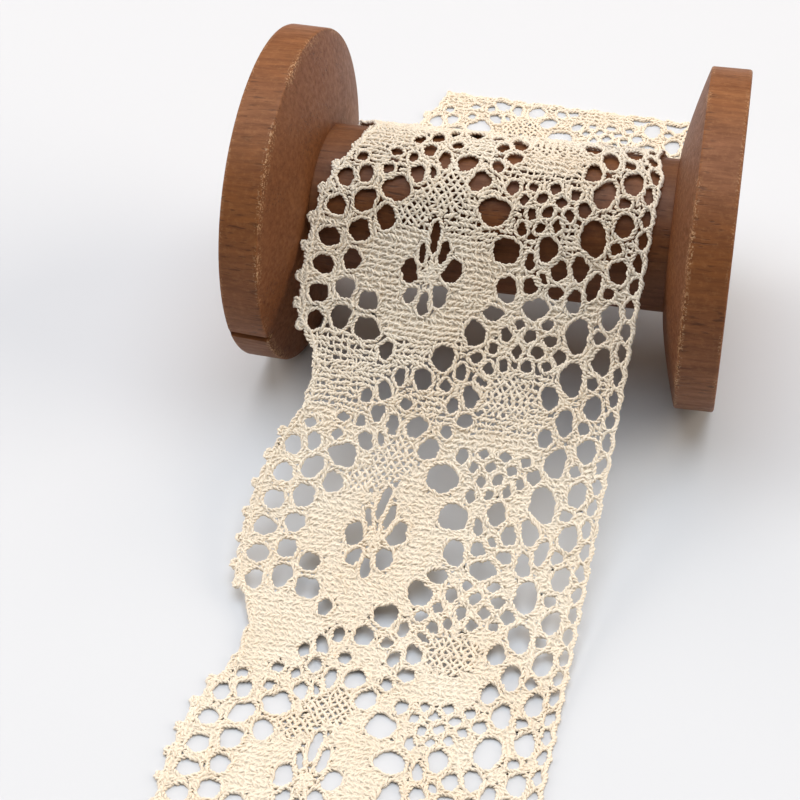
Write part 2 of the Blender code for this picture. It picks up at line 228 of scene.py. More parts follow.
class SpoolColours(bpy.types.PropertyGroup):
    """Colours of the finished object."""

    cotton: bpy.props.FloatVectorProperty(
        name="Cotton", description="Ecru cotton", size=3, subtype="COLOR", min=0, max=1,
        default=(0.845, 0.724, 0.576),
    )
    cotton_light: bpy.props.FloatVectorProperty(
        name="Light cotton", description="Paler lengths of the yarn", size=3,
        subtype="COLOR", min=0, max=1, default=(0.87, 0.780, 0.656),
    )
    wood: bpy.props.FloatVectorProperty(
        name="Wood", description="Stained wood", size=3, subtype="COLOR", min=0, max=1,
        default=(0.178, 0.060, 0.0180),
    )
    wood_dark: bpy.props.FloatVectorProperty(
        name="Dark grain", description="Darker grain of the wood", size=3,
        subtype="COLOR", min=0, max=1, default=(0.100, 0.0305, 0.0090),
    )
    wood_worn: bpy.props.FloatVectorProperty(
        name="Worn wood", description="Where the stain has worn off", size=3,
        subtype="COLOR", min=0, max=1, default=(0.265, 0.116, 0.0445),
    )


def sizes(name):
    return getattr(bpy.context.scene, name)


def new_piece(name, mesh, material, *nodes, slot):
    """Link a finished mesh as a piece that stands for CAD nodes."""
    piece = bpy.data.objects.new(name, mesh)
    bpy.context.scene.collection.objects.link(piece)
    mesh.materials.clear()
    mesh.materials.append(material)
    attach(piece, "root")
    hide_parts(*nodes)
    return piece


# The drape


def arc_radius(leave):
    return (AXIS_HEIGHT * 1000 + BEND * math.cos(leave) - REST) / (1 - math.cos(leave))


def hang(run):
    """Side view of the hanging ribbon: y, z and the surface's normal, in mm."""
    length = np.abs(run)
    front = run >= 0
    leave = np.where(front, FRONT_LEAVE, BACK_LEAVE)
    arc = np.where(front, arc_radius(FRONT_LEAVE), arc_radius(BACK_LEAVE))
    on_core = BEND * leave
    in_air = on_core + arc * leave
    landing = (BEND + arc) * np.sin(leave)
    slope = np.where(
        length <= on_core, length / BEND, np.clip((in_air - length) / arc, 0, None)
    )
    out = np.where(
        length <= on_core, BEND * np.sin(slope),
        landing - arc * np.sin(slope) + np.clip(length - in_air, 0, None),
    )
    height = np.where(
        length <= on_core, AXIS_HEIGHT * 1000 + BEND * np.cos(slope),
        REST + arc * (1 - np.cos(slope)),
    )
    side = np.where(front, -1.0, 1.0)
    return side * out, height, side * np.sin(slope), np.cos(slope)


DRIFT = np.array(((-60.0, 0.0), (10.0, math.radians(-3.3)), (150.0, math.radians(-1.2))))
DRIFT_ALONG = np.arange(-160.0, 230.0, 0.5)
DRIFT_ANGLE = np.interp(DRIFT_ALONG, DRIFT[:, 0], DRIFT[:, 1])
DRIFT_SHIFT = np.cumsum(DRIFT_ANGLE) * 0.5
DRIFT_SHIFT -= np.interp(0.0, DRIFT_ALONG, DRIFT_SHIFT)


def drawn_in(along):
    reach = np.minimum(along + 52.0, -8.0 - along) / 10.0
    rise = np.clip(reach + 1.0, 0.0, 1.0)
    return 1.0 - 0.055 * rise * rise * (3 - 2 * rise)


def lay(points):
    """Points of the flat lace (along, across, height in mm) laid over the core, in metres."""
    along, across, height = points.T
    across = across * drawn_in(along)
    angle = np.interp(along, DRIFT_ALONG, DRIFT_ANGLE)
    shift = np.interp(along, DRIFT_ALONG, DRIFT_SHIFT)
    y, z, normal_y, normal_z = hang(along - across * np.sin(angle))
    x = across * np.cos(angle) + shift
    flat = np.column_stack((x, y + normal_y * height, z + normal_z * height))
    return flat / 1000 + MIDDLE


# The lace, worked flat


def edge_at(along):
    """Across value of the scalloped edge."""
    return np.interp((along - FIRST_NOTCH) % REPEAT, SCALLOP[:, 0], SCALLOP[:, 1])


def cut_at_back(across):
    return BACK_CUT + BACK_SLANT * across


def smooth_noise(seed, along, across, scale, amount):
    """Slow random drift of a place on the flat lace."""
    random = np.random.default_rng(seed)
    total = np.zeros_like(along)
    for _ in range(5):
        turn = random.uniform(0, 2 * math.pi)
        pitch = scale * random.uniform(0.7, 1.5)
        wave = (along * math.cos(turn) + across * math.sin(turn)) * 2 * math.pi / pitch
        total += np.sin(wave + random.uniform(0, 2 * math.pi))
    return total * amount / math.sqrt(5)


def all_openings():
    """Openings of every repeat, with their small differences, as rows of numbers."""
    random = np.random.default_rng(11)
    rows = []
    for repeat in range(-1, 6):
        block = OPENINGS.copy()
        block[:, 0] += FIRST_NOTCH + repeat * REPEAT
        block[:, 0:2] += random.normal(0, 0.16, (len(block), 2))
        block[:, 2:4] *= random.normal(1.0, 0.045, (len(block), 2))
        block[:, 4] += random.normal(0, 7.0, len(block))
        rows.append(block)
    return np.concatenate(rows)


def ellipse_distance(x, y, half_long, half_wide, turn):
    """Distance from an oval, negative inside it."""
    x, y = x * np.cos(turn) + y * np.sin(turn), y * np.cos(turn) - x * np.sin(turn)
    round_by = np.hypot(x / half_long, y / half_wide) + 1e-9
    steep = np.hypot(x / half_long ** 2, y / half_wide ** 2) / round_by + 1e-9
    return (round_by - 1) / steep


class Openings:
    """The openings of the lace, and how far a place is from them.

    An opening grows from its oval until one plait's width is left to each neighbour.
    """

    def __init__(self):
        rows = all_openings()
        self.random = np.random.default_rng(29)
        self.middle = rows[:, 0:2]
        self.half = rows[:, 2:4] / 2
        self.turn = np.radians(rows[:, 4])
        self.petal = np.arange(len(rows)) % len(OPENINGS) < len(FLOWER)
        stitch = sizes("lace_yarn")
        airy = self.middle[:, 1] > AIRY_FROM
        self.half[airy] *= (1.06, 0.94)
        slit = self.middle[:, 1] > SLITS_FROM
        plaits = np.where(airy, np.where(slit, 0.65, 0.85), 1.0) * stitch.plait * 1000
        opened = np.where(airy, 0.22, stitch.opened * 1000)
        self.angle = np.linspace(0, 2 * math.pi, 49)
        heading = np.column_stack((np.cos(self.angle[:-1]), np.sin(self.angle[:-1])))
        self.reach = np.zeros((len(rows), 49))
        for index, (middle, half, turn) in enumerate(zip(self.middle, self.half, self.turn)):
            plait, most = plaits[index], opened[index]
            cos, sin = heading @ (math.cos(turn), math.sin(turn)), heading @ (
                -math.sin(turn), math.cos(turn))
            oval = 1 / np.hypot(cos / half[0], sin / half[1])
            for waves, amount in ((3, 0.06), (4, 0.045), (5, 0.03)):
                oval *= 1 + amount * self.random.normal() * np.cos(
                    waves * self.angle[:-1] + self.random.uniform(0, 2 * math.pi))
            near = np.flatnonzero(
                (np.abs(self.middle - middle) < 9 + half.max()).all(axis=1)
            )
            near = near[near != index]
            room = self.room(middle + oval[:, None] * heading, near)
            room = np.clip(room, 0.8, 2.6)
            room = (np.roll(room, 1) + room + np.roll(room, -1)) / 3
            pull = 0.0 if self.petal[index] else CORNER * (room - room.mean())
            oval += np.clip(pull, -0.22 * half.min(), 0.40 * half.min())
            grown = oval[:, None] + np.linspace(-0.35 * half.min(), most, 24)
            x = middle[0] + grown * heading[:, 0:1]
            y = middle[1] + grown * heading[:, 1:2]
            free = self.room(np.stack((x, y), axis=-1), near)
            fits = (free >= plait).cumprod(axis=1)
            last = np.maximum(fits.sum(axis=1) - 1, 0)
            reach = grown[np.arange(48), last]
            reach = (np.roll(reach, 1) + 2 * reach + np.roll(reach, -1)) / 4
            self.reach[index] = np.append(reach, reach[0])
        self.chart()

    def room(self, places, near):
        """Distance from places to the nearest of some ovals."""
        free = np.full(places.shape[:-1], 99.0)
        for other in near:
            away = places - self.middle[other]
            gap = ellipse_distance(
                away[..., 0], away[..., 1], *self.half[other], self.turn[other]
            )
            free = np.minimum(free, gap)
        return free

    def outline(self, index, gap, count=48):
        """Flat line that runs round one opening at this distance from it."""
        angle = np.linspace(0, 2 * math.pi, count, endpoint=False)
        reach = np.interp(angle, self.angle, self.reach[index])
        line = np.column_stack((reach * np.cos(angle), reach * np.sin(angle)))
        ahead = np.roll(line, -1, 0) - np.roll(line, 1, 0)
        out = np.column_stack((ahead[:, 1], -ahead[:, 0]))
        out /= np.linalg.norm(out, axis=1)[:, None]
        return self.middle[index] + line + out * gap

    def chart(self):
        """Map the distance to the nearest opening or edge, and where cloth is worked."""
        self.low = np.array((BACK_CUT - 8.0, -48.0))
        along, across = np.meshgrid(
            np.arange(self.low[0], FRONT_CUT + 8, CELL), np.arange(self.low[1], 46, CELL),
            indexing="ij",
        )
        nearest = np.minimum(across - edge_at(along), RIGHT_EDGE - across)
        nearest = np.minimum(nearest, along - cut_at_back(across))
        nearest = np.minimum(nearest, FRONT_CUT - along)
        window = int(9 / CELL)
        for middle, reach in zip(self.middle, self.reach):
            i, j = ((middle - self.low) / CELL).astype(int)
            part = (
                slice(max(0, i - window), max(0, i + window)),
                slice(max(0, j - window), max(0, j + window)),
            )
            x, y = along[part] - middle[0], across[part] - middle[1]
            angle = np.arctan2(y, x) % (2 * math.pi)
            edge = np.interp(angle, self.angle, reach)
            slope = np.interp(angle, self.angle, np.gradient(reach, self.angle))
            away = (np.hypot(x, y) - edge) * edge / np.hypot(edge, slope)
            nearest[part] = np.minimum(nearest[part], away)
        self.map = nearest
        wide = nearest > 1.85
        span = int(1.2 / CELL)
        self.cloth = np.zeros_like(wide)
        for i in range(-span, span + 1):
            for j in range(-span, span + 1):
                if i * i + j * j <= span * span:
                    self.cloth |= np.roll(wide, (i, j), axis=(0, 1))

    def cell(self, along, across):
        """Where a place lies on the map, as cells."""
        x = np.clip((along - self.low[0]) / CELL, 0, self.map.shape[0] - 1.001)
        y = np.clip((across - self.low[1]) / CELL, 0, self.map.shape[1] - 1.001)
        return x, y

    def clearance(self, along, across):
        """Distance to the nearest opening or edge of the lace, negative inside an opening."""
        x, y = self.cell(along, across)
        i, j = x.astype(int), y.astype(int)
        x, y = x - i, y - j
        return (
            self.map[i, j] * (1 - x) * (1 - y) + self.map[i + 1, j] * x * (1 - y)
            + self.map[i, j + 1] * (1 - x) * y + self.map[i + 1, j + 1] * x * y
        )

    def in_cloth(self, along, across):
        """Whether a place is worked in rows of cloth stitch."""
        x, y = self.cell(along, across)
        rows = self.cloth[np.round(x).astype(int), np.round(y).astype(int)]
        return rows & ~half_stitched(along, across)


class Yarn:
    """Every strand of the lace: flat points in mm, and whether it closes on itself."""

    def __init__(self, seed):
        self.random = np.random.default_rng(seed)
        self.strands = []

    def add(self, points, closed=False, thick=1.0):
        self.strands.append((points, closed, thick))

    def uneven(self, run, pitch):
        """Small ups and downs along a cord, the same at both its ends."""
        length = run[-1] + run[1]
        waves = max(1, round(length / pitch))
        return np.sin(run * waves * 2 * math.pi / length + self.random.uniform(0, 2 * math.pi))

    def cord(
        self, line, closed=False, spread=None, lift=0.0, twist=None, thick=1.08, relief=1.0
    ):
        """A cord of two strands, twisted either way, along a flat line of points."""
        stitch = sizes("lace_yarn")
        spread = stitch.spread * 1000 if spread is None else spread
        twist = stitch.twist * 1000 if twist is None else twist
        step = twist / 5
        line = resampled(line, step, closed)
        if len(line) < 3:
            return
        ahead = np.roll(line, -1, 0) - np.roll(line, 1, 0)
        if not closed:
            ahead[0], ahead[-1] = line[1] - line[0], line[-1] - line[-2]
        ahead /= np.linalg.norm(ahead, axis=1)[:, None] + 1e-9
        beside = np.column_stack((-ahead[:, 1], ahead[:, 0]))
        run = np.arange(len(line)) * step
        if closed:
            turns = max(1, round(len(line) * step / twist))
            angle = np.linspace(0, 2 * math.pi * turns, len(line), endpoint=False)
        else:
            angle = run * 2 * math.pi / twist
        angle = angle * self.random.choice((-1, 1)) + self.random.uniform(0, 2 * math.pi)
        angle = angle + 0.50 * self.uneven(run, 3.3) + 0.35 * self.uneven(run, 1.9)
        line = line + beside * (0.10 * self.uneven(run, 2.8))[:, None]
        size = spread * self.random.uniform(0.90, 1.10) * (1 + 0.20 * self.uneven(run, 4.6))
        for turn in (angle, angle + math.pi):
            points = line + beside * (size * np.cos(turn))[:, None]
            height = lift + relief * size * np.sin(turn) + 0.05 * self.uneven(run, 3.7)
            self.add(np.column_stack((points, height)), closed, thick)


def resampled(line, step, closed):
    """The same line with evenly spaced points."""
    if closed:
        line = np.vstack((line, line[:1]))
    run = np.concatenate(([0], np.cumsum(np.linalg.norm(np.diff(line, axis=0), axis=1))))
    count = max(2, round(run[-1] / step))
    places = np.linspace(0, run[-1], count + 1)
    if closed:
        places = places[:-1]
    return np.column_stack([np.interp(places, run, line[:, axis]) for axis in (0, 1)])


def work_rims(yarn, openings, low, high):
    """A twisted cord round every opening."""
    gap = sizes("lace_yarn").rim * 1000
    for index, ((a, v), (la, lv)) in enumerate(zip(openings.middle, openings.half)):
        if not low <= a < high or a + la > FRONT_CUT - 0.8 or a - la < cut_at_back(v) + 0.8:
            continue
        line = openings.outline(index, gap)
        yarn.cord(line, closed=True, lift=yarn.random.uniform(-0.14, 0.16))


def runs_of(mask, shortest):
    """Start and end of each unbroken stretch that is True."""
    padded = np.concatenate(([False], mask, [False]))
    change = np.flatnonzero(padded[1:] != padded[:-1])
    return [(a, b) for a, b in zip(change[::2], change[1::2]) if b - a >= shortest]


def half_stitched(along, across):
    """Whether a place is worked in half stitch."""
    place = (along - FIRST_NOTCH) % REPEAT
    inside = np.zeros_like(along, dtype=bool)
    for a, v, reach_a, reach_v in HALF_STITCH:
        ragged = smooth_noise(71, along, across, 4, 0.14)
        inside |= ((place - a) / reach_a) ** 2 + ((across - v) / reach_v) ** 2 < 1 + ragged
    return inside


def work_cloth(yarn, openings, low, high):
    """Rows of cloth stitch between the openings, over a few passive threads."""
    stitch = sizes("lace_yarn")
    row, fine = stitch.row * 1000, 0.25
    across = np.arange(-46.0, 43.0, fine)
    first = math.ceil(low / row)
    for index in range(first, math.ceil(high / row)):
        along = np.full_like(across, index * row)
        along = along + smooth_noise(3, along, across, 16, 0.30)
        along = along + smooth_noise(500 + index, along, across, 3.6, 0.27)
        clear = openings.clearance(along, across)
        worked = (clear > 0.70) & openings.in_cloth(along, across)
        for start, end in runs_of(worked, 5):
            line = np.column_stack((along[start:end], across[start:end]))
            spread = yarn.random.uniform(0.32, 0.42)
            yarn.cord(
                line, spread=spread, twist=yarn.random.uniform(2.1, 2.7), thick=1.14,
                relief=0.70,
            )
    pitch = 1.62
    for index in range(-28, 27):
        along = np.arange(max(low, BACK_CUT), min(high, FRONT_CUT), row / 3)
        across = np.full_like(along, index * pitch + yarn.random.uniform(-0.25, 0.25))
        across = across + smooth_noise(5, along, across, 13, 0.6)
        across = across + smooth_noise(700 + index, along, across, 4.0, 0.28)
        clear = openings.clearance(along, across)
        worked = (clear > 0.60) & openings.in_cloth(along, across)
        level = along - smooth_noise(3, along, across, 16, 0.30)
        over = 0.14 * np.cos(math.pi * (level / row + index))
        over += smooth_noise(800 + index, along, across, 7.0, 0.08)
        line = np.column_stack((along, across, over))
        for start, end in runs_of(worked, 4):
            yarn.add(line[start:end], thick=yarn.random.uniform(0.80, 0.98))


def work_plaits(yarn, openings, low, high):
    """More cords round the openings where a plait is wider than their rims."""
    for index, (a, v) in enumerate(openings.middle):
        if not low <= a < high:
            continue
        line = openings.outline(index, 1.65, 64)
        along, across = line.T
        spare = openings.clearance(along, across) > 1.05
        spare &= ~openings.in_cloth(along, across) & ~half_stitched(along, across)
        spare &= (along < FRONT_CUT - 1) & (along > cut_at_back(across) + 1)
        first = int(np.argmin(spare))
        spare, line = np.roll(spare, -first), np.roll(line, -first, axis=0)
        for start, end in runs_of(spare, 3):
            if yarn.random.random() < 0.85:
                part = line[max(start - 1, 0):end + 1]
                yarn.cord(part, lift=yarn.random.uniform(-0.15, 0.12))


def work_half_stitch(yarn, openings, low, high):
    """Two slanted sets of single strands, and the worker that crosses them."""
    fine = 0.3
    for lean, pitch, stout in ((-38, 1.40, 1.0), (38, 1.40, 1.0), (90, 1.60, 0.65)):
        direction = np.array((math.cos(math.radians(lean)), math.sin(math.radians(lean))))
        beside = np.array((-direction[1], direction[0]))
        middle = np.array(((low + high) / 2, 0.0))
        run = np.arange(-75.0, 75.0, fine)
        for index in range(-60, 61):
            line = middle + np.outer(run, direction) + beside * (index * pitch)
            line = line + beside * yarn.random.normal(0, 0.10)
            sway = smooth_noise(900 + index, line[:, 0], line[:, 1], 5, 0.20)
            line = line + beside * sway[:, None]
            inside = (line[:, 0] >= low) & (line[:, 0] < high)
            clear = openings.clearance(line[:, 0], line[:, 1])
            mask = inside & (clear > 0.15) & half_stitched(line[:, 0], line[:, 1])
            for start, end in runs_of(mask, 4):
                part = line[max(start - 1, 0):end + 1]
                phase = math.pi * np.arange(len(part)) * fine / 1.6 + lean
                thick = stout * yarn.random.uniform(1.15, 1.40)
                yarn.add(np.column_stack((part, 0.2 * np.cos(phase))), thick=thick)


def work_hubs(yarn, low, high):
    """Cords that cross at the middle of each flower."""
    for repeat in range(6):
        middle = np.array((FIRST_NOTCH + repeat * REPEAT + HUB[0], HUB[1]))
        if not low <= middle[0] < high or middle[0] > FRONT_CUT - 4:
            continue
        for lift, lean, reach in HUB_CORDS:
            out = np.array((math.cos(math.radians(lean)), math.sin(math.radians(lean))))
            beside = np.array((-out[1], out[0])) * yarn.random.uniform(-0.4, 0.4)
            line = middle + beside + np.outer((-reach, -0.8, 0.8, reach), out)
            yarn.cord(line, lift=lift)
        angle = np.linspace(0, 2 * math.pi, 16, endpoint=False)
        ring = np.column_stack((np.cos(angle), np.sin(angle)))
        for reach in (0.9, 1.7):
            yarn.cord(middle + ring * reach, closed=True, lift=0.1)


def work_edges(yarn, low, high):
    """Cords along both edges, and the picots of the scalloped one."""
    along = np.arange(max(low, cut_at_back(40)), min(high, FRONT_CUT) + 0.01, 0.5)
    wave = 0.22 * np.cos((along - FIRST_NOTCH - 6.5) * 2 * math.pi / 5.6)
    yarn.cord(np.column_stack((along, RIGHT_EDGE - 0.55 + wave)), lift=0.1)
    along = np.arange(max(low, cut_at_back(-36)), min(high, FRONT_CUT) + 0.01, 0.5)
    bulge = 0.30 * np.cos((along - FIRST_NOTCH - 20.0) * 2 * math.pi / 7.1)
    yarn.cord(np.column_stack((along, edge_at(along) + 0.80 + bulge)), spread=0.34)
    yarn.cord(np.column_stack((along, edge_at(along) + 1.55 - bulge)), lift=0.1)
    if low < BACK_CUT:
        across = np.arange(edge_at(np.array([BACK_CUT]))[0] + 0.6, RIGHT_EDGE - 0.4, 0.5)
        frayed = 0.35 * np.sin(across / 0.9) + 0.35 * np.sin(across / 2.3)
        for inset in (0.55, 1.45):
            along = cut_at_back(across) + inset + frayed
            yarn.cord(np.column_stack((along, across)), spread=0.32)
    for repeat in range(6):
        for picot in PICOTS:
            a = FIRST_NOTCH + repeat * REPEAT + picot + yarn.random.normal(0, 0.2)
            if not low <= a < high or not cut_at_back(-36) + 2 < a < FRONT_CUT - 1.5:
                continue
            v = edge_at(np.array([a]))[0] + 0.05
            angle = np.linspace(0, 2 * math.pi, 14, endpoint=False)
            reach = yarn.random.uniform(0.70, 0.90)
            ring = np.column_stack((1.30 * np.cos(angle), np.sin(angle)))
            yarn.cord((a, v) + ring * reach, closed=True, spread=0.36, thick=1.25)
            yarn.cord((a, v + 0.2) + ring * reach * 0.4, closed=True, lift=-0.1)


def yarn_mesh(name, strands):
    """One mesh of round strands, laid over the core."""
    curve = bpy.data.curves.new(name, "CURVE")
    curve.dimensions = "3D"
    curve.bevel_depth = sizes("lace_yarn").strand / 2
    curve.bevel_resolution = 0
    curve.use_fill_caps = True
    random = np.random.default_rng(len(strands))
    for points, closed, thick in strands:
        placed = lay(points)
        spline = curve.splines.new("POLY")
        spline.points.add(len(placed) - 1)
        spline.points.foreach_set(
            "co", np.column_stack((placed, np.ones(len(placed)))).ravel()
        )
        thickness = thick * random.uniform(0.90, 1.08)
        spline.points.foreach_set(
            "radius", thickness * random.uniform(0.84, 1.16, len(placed))
        )
        spline.use_cyclic_u = closed
    holder = bpy.data.objects.new(name, curve)
    bpy.context.scene.collection.objects.link(holder)
    bpy.context.view_layer.update()
    graph = bpy.context.evaluated_depsgraph_get()
    mesh = bpy.data.meshes.new_from_object(holder.evaluated_get(graph))
    mesh.name = name
    bpy.data.objects.remove(holder, do_unlink=True)
    bpy.data.curves.remove(curve)
    mesh.shade_smooth()
    return mesh


def ground_mesh(name, openings):
    """Thin sheet that lies inside the yarn, cut away at openings and in half stitch; its cotton
    is a little darker, painted shade of the yarn below.
    """
    flat, sides = [], []
    for index, (a, v) in enumerate(openings.middle):
        if cut_at_back(v) + 3 < a < FRONT_CUT - 3:
            first = len(flat)
            ring = openings.outline(index, 0.38, 14)
            flat.extend(ring)
            sides += [(first + i, first + (i + 1) % len(ring)) for i in range(len(ring))]
    pitch = 2.0
    rows = np.arange(BACK_CUT - 2, FRONT_CUT, pitch)
    grid = np.array([
        (row, across + (index % 2) * pitch / 2)
        for index, row in enumerate(rows) for across in np.arange(-45, 41, pitch)
    ])
    flat.extend(grid[openings.clearance(grid[:, 0], grid[:, 1]) > 1.1])
    along = np.arange(BACK_CUT, FRONT_CUT - 0.5, 1.5)
    flat.extend(np.column_stack((along, edge_at(along) + 0.9)))
    flat.extend(np.column_stack((along, np.full_like(along, RIGHT_EDGE - 0.9))))
    points, _, faces, _, _, _ = delaunay_2d_cdt(
        [Vector(point) for point in flat], sides, [], 0, 1e-6
    )
    points = np.array([tuple(point) for point in points])
    faces = np.array([face for face in faces if len(face) == 3])
    middle = points[faces].mean(axis=1)
    clear = openings.clearance(middle[:, 0], middle[:, 1])
    side = points[faces] - points[np.roll(faces, 1, axis=1)]
    keep = (clear > 0.92) & ~half_stitched(middle[:, 0], middle[:, 1])
    keep &= (middle[:, 0] < HALF_BARE[0]) | (middle[:, 0] > HALF_BARE[1]) | (clear > 1.9)
    for start, end in BARE:
        keep &= (middle[:, 0] < start) | (middle[:, 0] > end)
    for repeat in range(6):
        hub = (FIRST_NOTCH + repeat * REPEAT + HUB[0] - 2, HUB[1])
        keep &= np.hypot(*(middle - hub).T) > 5.5
    faces = faces[keep & (np.linalg.norm(side, axis=2).max(axis=1) < 4.5)]
    height = np.interp(points[:, 0], (50.0, 90.0), (-0.14, 0.20))
    placed = lay(np.column_stack((points, height)))
    shape = bmesh.new()
    verts = [shape.verts.new(point) for point in placed]
    for face in faces:
        shape.faces.new([verts[i] for i in face])
    bmesh.ops.delete(
        shape, geom=[vert for vert in shape.verts if not vert.link_faces], context="VERTS"
    )
    area = sum(face.calc_area() for face in shape.faces)
    bmesh.ops.recalc_face_normals(shape, faces=shape.faces)
    mesh = bpy.data.meshes.new(name)
    shape.to_mesh(mesh)
    shape.free()
    mesh.shade_smooth()
    used = np.unique(faces)
    flat_place = mesh.attributes.new("flat_place", "FLOAT_VECTOR", "POINT")
    flat_place.data.foreach_set(
        "vector", np.column_stack((points[used], np.zeros(len(used)))).ravel()
    )
    return mesh, area


class LACESPOOL_OT_lace(bpy.types.Operator):
    """Work the lace strand by strand, one piece for each repeat"""

    bl_idname = "lacespool.lace"
    bl_label = "Lace ribbon"

    def execute(self, context):
        openings = Openings()
        colours = sizes("lace_colours")
        cotton = cotton_material("ecru_cotton", colours.cotton, colours.cotton_light)
        limits = [BACK_CUT - 3] + [FIRST_NOTCH + REPEAT * k for k in (1, 2, 3, 4)]
        limits.append(FRONT_CUT)
        for index, (low, high) in enumerate(zip(limits, limits[1:])):
            yarn = Yarn(100 + index)
            work_rims(yarn, openings, low, high)
            work_cloth(yarn, openings, low, high)
            work_plaits(yarn, openings, low, high)
            work_half_stitch(yarn, openings, low, high)
            work_hubs(yarn, low, high)
            work_edges(yarn, low, high)
            name = f"lace_length_{index + 1}"
            mesh = yarn_mesh(name, yarn.strands)
            new_piece(name, mesh, cotton, "lace_ribbon", slot="cotton")
        mesh, area = ground_mesh("lace_ground", openings)
        # Painted shade: the sheet gets a darker cotton that stands in for the shaded yarn below
        # it
        inner = cotton_material(
            "shaded_cotton", (0.83, 0.71, 0.565), (0.86, 0.755, 0.62), woven_and_shaded=True)
        ground = new_piece("lace_ground", mesh, inner, "lace_ribbon", slot="cotton")
        return {"FINISHED"}


# The turned wood

# Swing and tilt of the left and right flange, in degrees
LEANS = ((-4.2, -1.3), (1.6, 0.8))

# How soon the flange's inner face swells from the rim towards the core
DOMED = 1.35

# A crack across the lower front of the left rim: degrees below the front, depth in metres
CRACK = (
    (8.0, 0.0), (20.2, 0.0004), (20.9, 0.0014), (21.8, 0.0013), (22.5, 0.0), (45.0, 0.0),
)


def flange_section():
    """Half section of a flange: radius, and distance outwards from the core."""
    wood = sizes("lace_spool")
    inner, outer = wood.flange_dome, wood.flange_dome + wood.rim_width
    radius, edge = wood.flange_radius, wood.rim_edge
    points = [(0.0, outer), (radius * 0.6, outer), (radius - edge, outer)]
    points += [(radius - edge * 0.3, outer - edge * 0.3), (radius, outer - edge)]
    points += [(radius, outer - edge - 0.0007), (radius, inner + 0.0040)]
    points += [(radius, inner + edge + 0.0007)]
    points += [(radius, inner + edge), (radius - edge * 0.3, inner + edge * 0.3)]
    for step in range(13):
        share = step / 12
        along = radius - edge + (wood.core_radius - radius + edge) * share
        points.append((along, inner * (1 - share) ** DOMED))
    points.append((0.0, 0.0))
    return points


def turned(section, steps=128):
    """Spin a half section about Z and close it."""
    shape = bmesh.new()
    corners = [shape.verts.new((radius, 0.0, height)) for radius, height in section]
    lines = [shape.edges.new(pair) for pair in zip(corners, corners[1:])]
    bmesh.ops.spin(
        shape, geom=corners + lines, cent=(0, 0, 0), axis=(0, 0, 1), angle=2 * math.pi,
        steps=steps, use_merge=True,
    )
    bmesh.ops.remove_doubles(shape, verts=shape.verts, dist=0.000005)
    bmesh.ops.recalc_face_normals(shape, faces=shape.faces)
    wood = sizes("lace_spool")
    wear = shape.verts.layers.float.new("wear")
    torn = shape.verts.layers.float.new("torn")
    rim = shape.verts.layers.float.new("rim")
    for vert in shape.verts:
        radius = math.hypot(vert.co.x, vert.co.y)
        from_rim = abs(vert.co.z - wood.flange_dome - wood.rim_width / 2)
        edge = from_rim > wood.rim_width / 2 - wood.rim_edge * 1.1
        edge &= radius > wood.flange_radius - wood.rim_edge * 1.1
        inner = vert.co.z < wood.flange_dome + wood.rim_width / 2
        vert[wear] = edge * (1.0 if inner else 0.45)
        # Marks the outer rim band, which the wood material lightens as painted light
        vert[rim] = float(radius > wood.flange_radius - wood.rim_edge * 0.5)
        near = vert.co.z < wood.flange_dome + wood.rim_edge + 0.001
        vert[torn] = 0.9 * (near and radius > wood.flange_radius - wood.rim_edge * 1.1)
    return shape


def crack_rim(shape):
    """Wear the lower front of a rim down to a crack that runs across it."""
    wood = sizes("lace_spool")
    centre = Vector((0, MIDDLE[1], AXIS_HEIGHT))
    for lean, _ in CRACK:
        lean = math.radians(lean)
        bmesh.ops.bisect_plane(
            shape, geom=shape.verts[:] + shape.edges[:] + shape.faces[:], dist=0.000001,
            plane_co=centre, plane_no=(0, -math.sin(lean), math.cos(lean)),
        )
    leans, depths = zip(*CRACK)
    for vert in shape.verts:
        away = vert.co - centre
        away.x = 0
        lean = math.degrees(math.atan2(-away.z, -away.y))
        if away.length > wood.flange_radius - 0.0012:
            depth = np.interp(lean, leans, depths)
            vert.co -= away * (float(depth) / wood.flange_radius)


def stand_flat(shape):
    """Cut the wood off at the surface it stands on."""
    cut = bmesh.ops.bisect_plane(
        shape, geom=shape.verts[:] + shape.edges[:] + shape.faces[:], dist=0.000001,
        plane_co=(0, 0, 0), plane_no=(0, 0, -1), clear_outer=True,
    )
    rim = [item for item in cut["geom_cut"] if isinstance(item, bmesh.types.BMEdge)]
    bmesh.ops.holes_fill(shape, edges=rim, sides=0)


class LACESPOOL_OT_flanges(bpy.types.Operator):
    """Turn the two flanges and set them on the ends of the core"""

    bl_idname = "lacespool.flanges"
    bl_label = "Flanges"

    def execute(self, context):
        wood = sizes("lace_spool")
        # Stained wood with worn edges, and painted light on the outer rim
        stain = wood_material("stained_wood_lit_rim", worn_edges_and_lit_rim=True)
        for name, side, swing, tilt in (
            ("flange_left", -1, *LEANS[0]), ("flange_right", 1, *LEANS[1]),
        ):
            shape = turned(flange_section())
            place = (
                Matrix.Translation(Vector(MIDDLE) + Vector(
                    (side * wood.core_span / 2, 0, AXIS_HEIGHT)))
                @ Matrix.Rotation(math.radians(swing), 4, "Z")
                @ Matrix.Rotation(side * math.pi / 2 + math.radians(tilt), 4, "Y")
            )
            bmesh.ops.transform(shape, matrix=place, verts=shape.verts)
            if side < 0:
                crack_rim(shape)
            stand_flat(shape)
            mesh = bpy.data.meshes.new(name + "_wood")
            shape.to_mesh(mesh)
            shape.free()
            mesh.shade_smooth()
            mesh.set_sharp_from_angle(angle=math.radians(38))
            new_piece(name + "_wood", mesh, stain, name, slot="wood")
        return {"FINISHED"}


